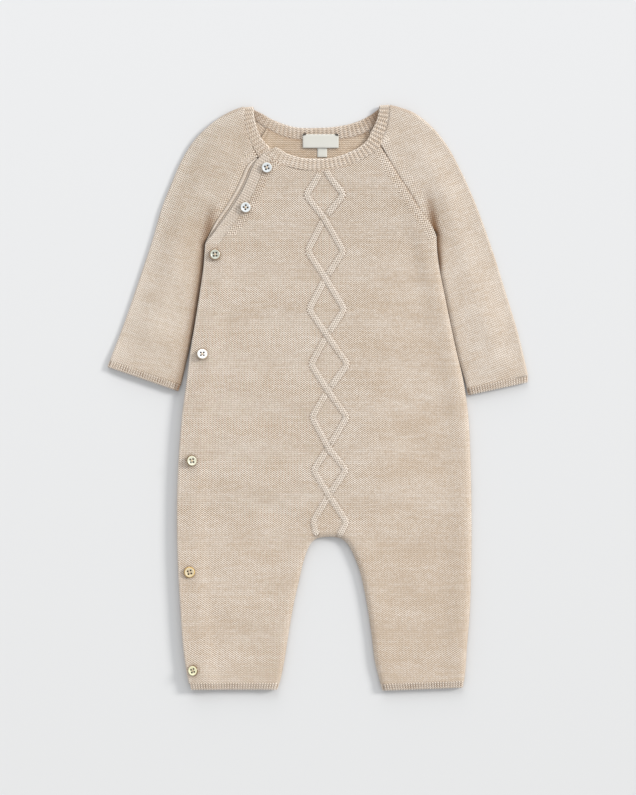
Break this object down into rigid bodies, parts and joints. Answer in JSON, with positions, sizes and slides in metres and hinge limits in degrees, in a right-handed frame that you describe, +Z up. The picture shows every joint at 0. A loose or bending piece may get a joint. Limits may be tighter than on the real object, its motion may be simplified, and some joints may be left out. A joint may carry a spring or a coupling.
{
  "type": "baby romper, knitted, laid flat",
  "caption": "Long-sleeved knitted baby romper laid flat, with raglan sleeves, a side-buttoned front, a diamond cable, ribbed neck and narrow rib hems",
  "frame": {"origin": "middle of the garment's footprint, on the surface it lies on", "axes": "+Z up off the surface, the front's outer side facing +Z; +Y towards the neck; +X towards the closed side, away from the buttons"},
  "size_m": [0.3666, 0.5106, 0.0106],
  "materials": {
    "knit": "fine heathered oatmeal wool knit, soft, matt, slightly hairy",
    "rib": "ribbed heathered oatmeal wool knit, soft and matt",
    "shell": "polished pale shell, four holes",
    "label": "off-white woven label tape, bare"
  },
  "bodies": {
    "root": {"back_panel": "knit", "front_panel": "knit", "sleeve_opening_side": "knit", "sleeve_closed_side": "knit", "neckband": "rib", "front_band": "rib", "raglan_stand": "rib", "side_stand": "rib", "cuff_opening_side": "rib", "cuff_closed_side": "rib", "hem_opening_side": "rib", "hem_closed_side": "rib", "button_1": "shell", "button_2": "shell", "button_3": "shell", "button_4": "shell", "button_5": "shell", "button_6": "shell", "button_7": "shell", "neck_label": "label", "size_tag": "label"}
  },
  "joints": []
}
